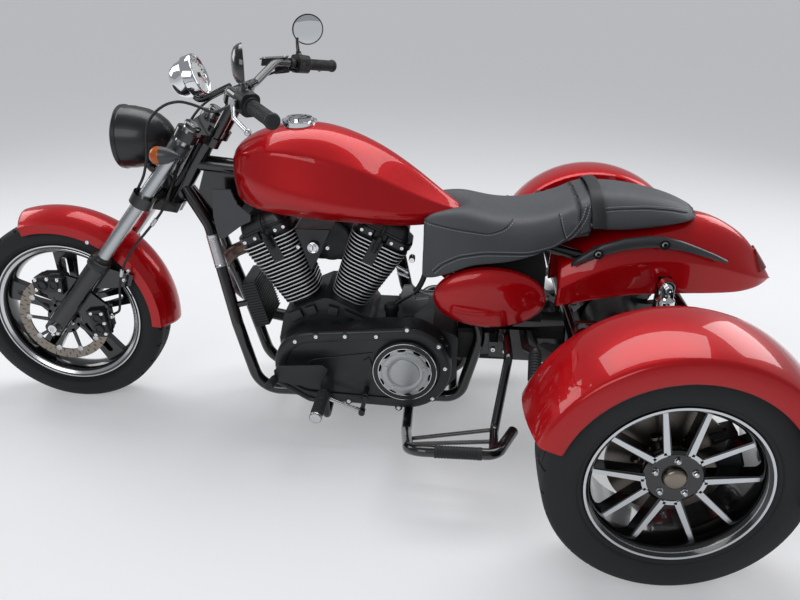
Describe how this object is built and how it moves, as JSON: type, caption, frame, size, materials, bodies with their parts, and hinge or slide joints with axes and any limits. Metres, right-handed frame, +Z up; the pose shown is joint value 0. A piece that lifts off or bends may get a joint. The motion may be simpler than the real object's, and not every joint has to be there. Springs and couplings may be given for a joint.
{
  "type": "cruiser trike motorcycle",
  "caption": "Cruiser built as a trike: raked steered front fork, finned V engine in a tube frame, stepped seat, centre fender and wide fenders over the rear wheels.",
  "frame": {"origin": "middle of the whole machine's bounding box at ground level, on the middle plane", "axes": "+X rearward along the machine, +Y to the rider's right, +Z up"},
  "size_m": [2.57, 1.644, 1.2447],
  "materials": {
    "tyre": "satin black rubber",
    "black_wheel": "gloss black paint with machined edges",
    "brake_steel": "ground steel",
    "zinc": "zinc plate",
    "black_paint": "gloss black",
    "chrome": "polished",
    "red_paint": "candy red clear coat",
    "hose_rubber": "satin",
    "rubber": "ribbed matt rubber",
    "black_plastic": "matt",
    "cast_aluminium": "satin cast",
    "clear_glass": "clear",
    "grey_paint": "satin grey",
    "black_engine": "satin black",
    "exhaust_steel": "polished, heat tinted",
    "grey_vinyl": "stitched grey vinyl",
    "red_lens": "smoked red lens"
  },
  "bodies": {
    "chassis": {"frame": "black_paint", "neck_covers": "grey_paint", "crankcase": "black_engine", "cylinders": "black_engine", "rocker_covers": "black_engine", "primary_cover": "black_engine", "clutch_cover": "black_engine", "cam_cover": "black_engine", "intake_cover": "black_engine", "air_cleaner": "black_engine", "exhaust": "exhaust_steel", "oil_cooler": "black_engine", "battery_box": "black_plastic", "side_covers": "red_paint", "fuel_tank": "red_paint", "fuel_cap": "chrome", "rider_seat": "grey_vinyl", "rear_fender": "red_paint", "pillion_seat": "grey_vinyl", "tail_light": "red_lens", "grab_rails": "grey_paint", "rear_chassis": "black_paint", "rear_axle": "black_paint", "shock_absorbers": "chrome", "trike_fenders": "red_paint", "fender_stays": "black_paint", "rear_calipers": "black_paint", "belt_guard": "black_plastic", "side_steps": "black_paint", "passenger_pegs": "rubber", "foot_controls": "black_paint"},
    "steering": {"triple_clamps": "black_paint", "fork_tubes": "chrome", "fork_sliders": "black_paint", "front_axle": "zinc", "front_fender": "red_paint", "front_calipers": "black_paint", "brake_hose": "hose_rubber", "clutch_cable": "hose_rubber", "risers": "black_paint", "handlebar": "chrome", "grips": "rubber", "switch_housings": "black_plastic", "levers": "cast_aluminium", "mirrors": "chrome", "headlight": "black_paint", "headlight_lens": "clear_glass", "speedometer": "chrome", "turn_signals": "grey_paint"},
    "front_wheel": {"front_tyre": "tyre", "front_rim": "black_wheel", "front_disc": "brake_steel"},
    "rear_left_wheel": {"rear_left_tyre": "tyre", "rear_left_rim": "black_wheel", "rear_left_disc": "brake_steel"},
    "rear_right_wheel": {"rear_right_tyre": "tyre", "rear_right_rim": "black_wheel", "rear_right_disc": "brake_steel"}
  },
  "joints": [
    {"name": "steering_head", "type": "hinge", "parent": "chassis", "child": "steering", "pos_m": [-0.50343, 0, 0.82185], "axis": [0.527, 0, 0.8499], "range_deg": [-34, 34]},
    {"name": "front_wheel_spin", "type": "hinge", "parent": "steering", "child": "front_wheel", "pos_m": [-0.965, 0, 0.32], "axis": [0, 1, 0], "continuous": true},
    {"name": "rear_left_wheel_spin", "type": "hinge", "parent": "chassis", "child": "rear_left_wheel", "pos_m": [0.845, -0.7, 0.316], "axis": [0, 1, 0], "continuous": true},
    {"name": "rear_right_wheel_spin", "type": "hinge", "parent": "chassis", "child": "rear_right_wheel", "pos_m": [0.845, 0.7, 0.316], "axis": [0, 1, 0], "continuous": true}
  ]
}
